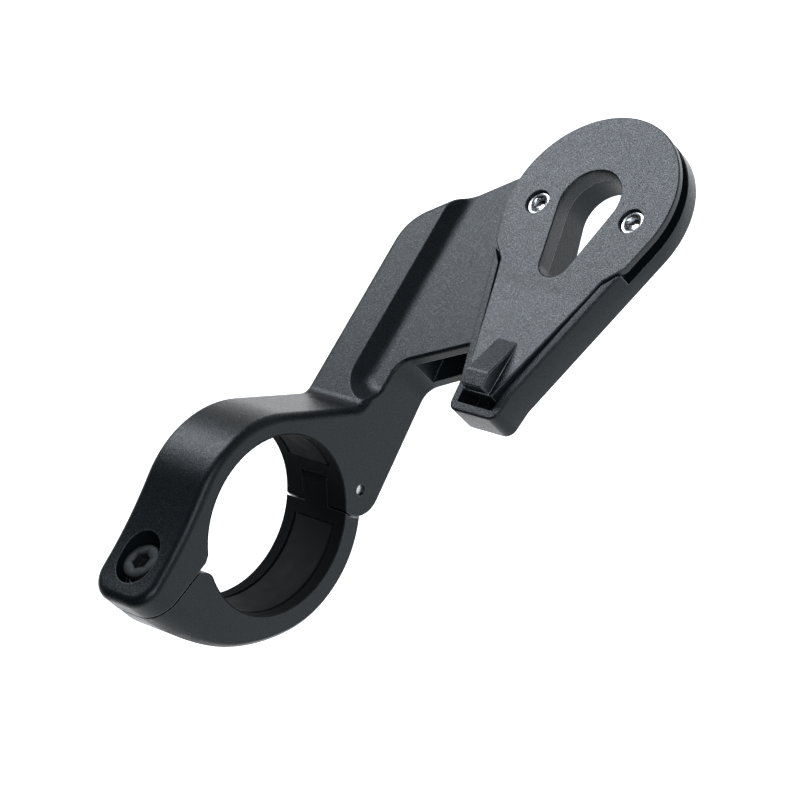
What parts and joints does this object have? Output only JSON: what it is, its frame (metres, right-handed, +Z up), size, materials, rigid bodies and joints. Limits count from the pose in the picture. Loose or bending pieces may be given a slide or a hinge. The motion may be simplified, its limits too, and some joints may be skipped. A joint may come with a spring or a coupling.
{
  "type": "bike computer mount",
  "caption": "Out-front handlebar mount: a hinged bar clamp with a tilted bolt, an offset arm and a round rail plate with a sprung latch tongue that holds a bike computer.",
  "frame": {"origin": "on the handlebar's axis, at the middle of the clamp's width", "axes": "+X along the bar towards the platform's side, +Y ahead (the way the arm reaches), +Z up"},
  "size_m": [0.0566, 0.1168, 0.0399],
  "materials": {
    "arm_plastic": "fine moulded grain",
    "rail_plastic": "fine moulded grain",
    "pad_rubber": "smooth rubber",
    "black_steel": "black oxide",
    "bright_steel": "bright",
    "insert_brass": "turned"
  },
  "bodies": {
    "arm": {"arm_body": "arm_plastic", "hinge_pin": "bright_steel", "upper_pad": "pad_rubber", "rail_plate": "rail_plastic", "plate_screws": "bright_steel", "screw_inserts": "insert_brass"},
    "jaw": {"lower_jaw": "arm_plastic", "lower_pad": "pad_rubber", "clamp_nut": "bright_steel"},
    "washer": {"bolt_washer": "bright_steel"},
    "bolt": {"clamp_bolt": "black_steel"},
    "latch": {"latch_tongue": "rail_plastic"}
  },
  "joints": [
    {"name": "jaw_hinge", "type": "hinge", "parent": "arm", "child": "jaw", "pos_m": [0, 0.01464, -0.01318], "axis": [1, 0, 0], "range_deg": [0, 60]},
    {"name": "bolt_draw", "type": "slide", "parent": "arm", "child": "washer", "axis": [0, 0.1736, 0.9848], "range_m": [0, 0.0126]},
    {"name": "bolt_turn", "type": "hinge", "parent": "washer", "child": "bolt", "pos_m": [0, -0.0189, 0.0113], "axis": [0, 0.1736, 0.9848], "continuous": true},
    {"name": "latch_press", "type": "hinge", "parent": "arm", "child": "latch", "pos_m": [0.0316, 0.0545, -0.00305], "axis": [1, 0, 0], "range_deg": [0, 7], "stiffness_Nm_per_rad": 0.8}
  ]
}
